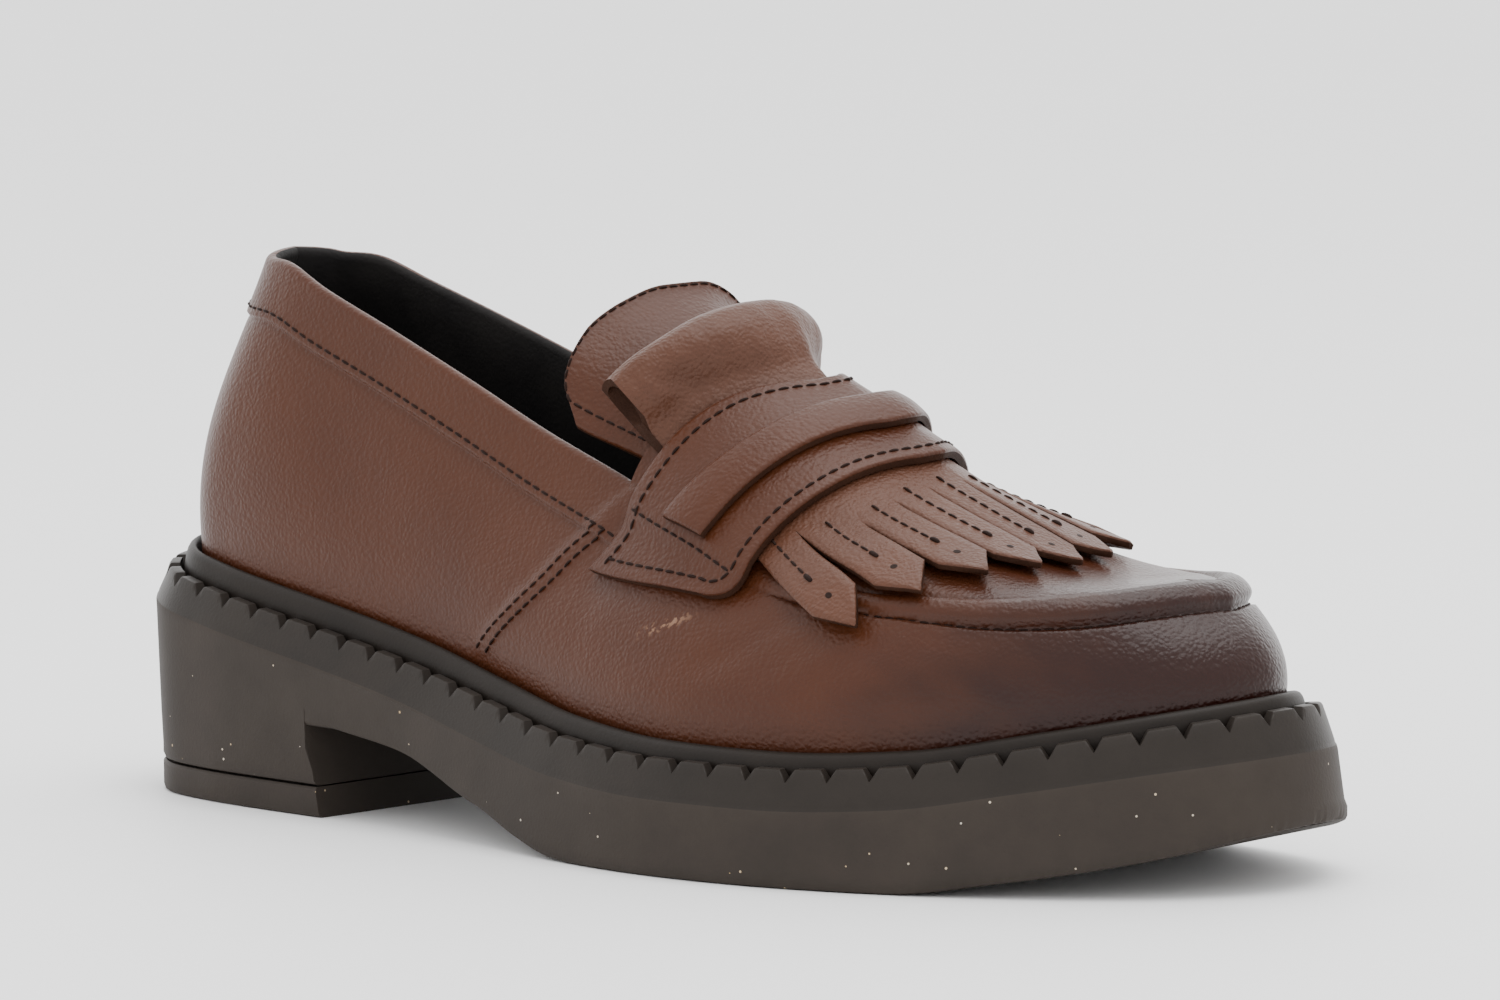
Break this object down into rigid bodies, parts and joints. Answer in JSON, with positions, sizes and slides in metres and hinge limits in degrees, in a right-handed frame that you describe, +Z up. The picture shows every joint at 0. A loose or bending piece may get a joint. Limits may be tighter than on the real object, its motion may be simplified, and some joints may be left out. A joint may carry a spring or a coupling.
{
  "type": "kiltie loafer",
  "caption": "Right shoe: slip-on loafer with a fringed kiltie under a saddle strap, raised apron seam, toothed welt rim and low block heel.",
  "frame": {"origin": "on the floor under the heel, on the shoe's lengthwise axis", "axes": "+X to the toe, +Y to the inner (medial) side of this right shoe, +Z up"},
  "size_m": [0.276, 0.1014, 0.1088],
  "materials": {
    "sole_rubber": "matt dark grey-brown with pale specks",
    "welt_rubber": "smooth dark rubber",
    "lining": "matt black lining",
    "upper_leather": "satin brown grained leather, darker at the toe"
  },
  "bodies": {
    "root": {"unit_sole": "sole_rubber", "heel_top_piece": "sole_rubber", "storm_welt": "welt_rubber", "insole": "lining", "upper": "upper_leather", "tongue": "upper_leather", "saddle_strap": "upper_leather", "saddle_band": "upper_leather", "kiltie_fringe": "upper_leather", "kiltie_roll": "upper_leather"}
  },
  "joints": []
}
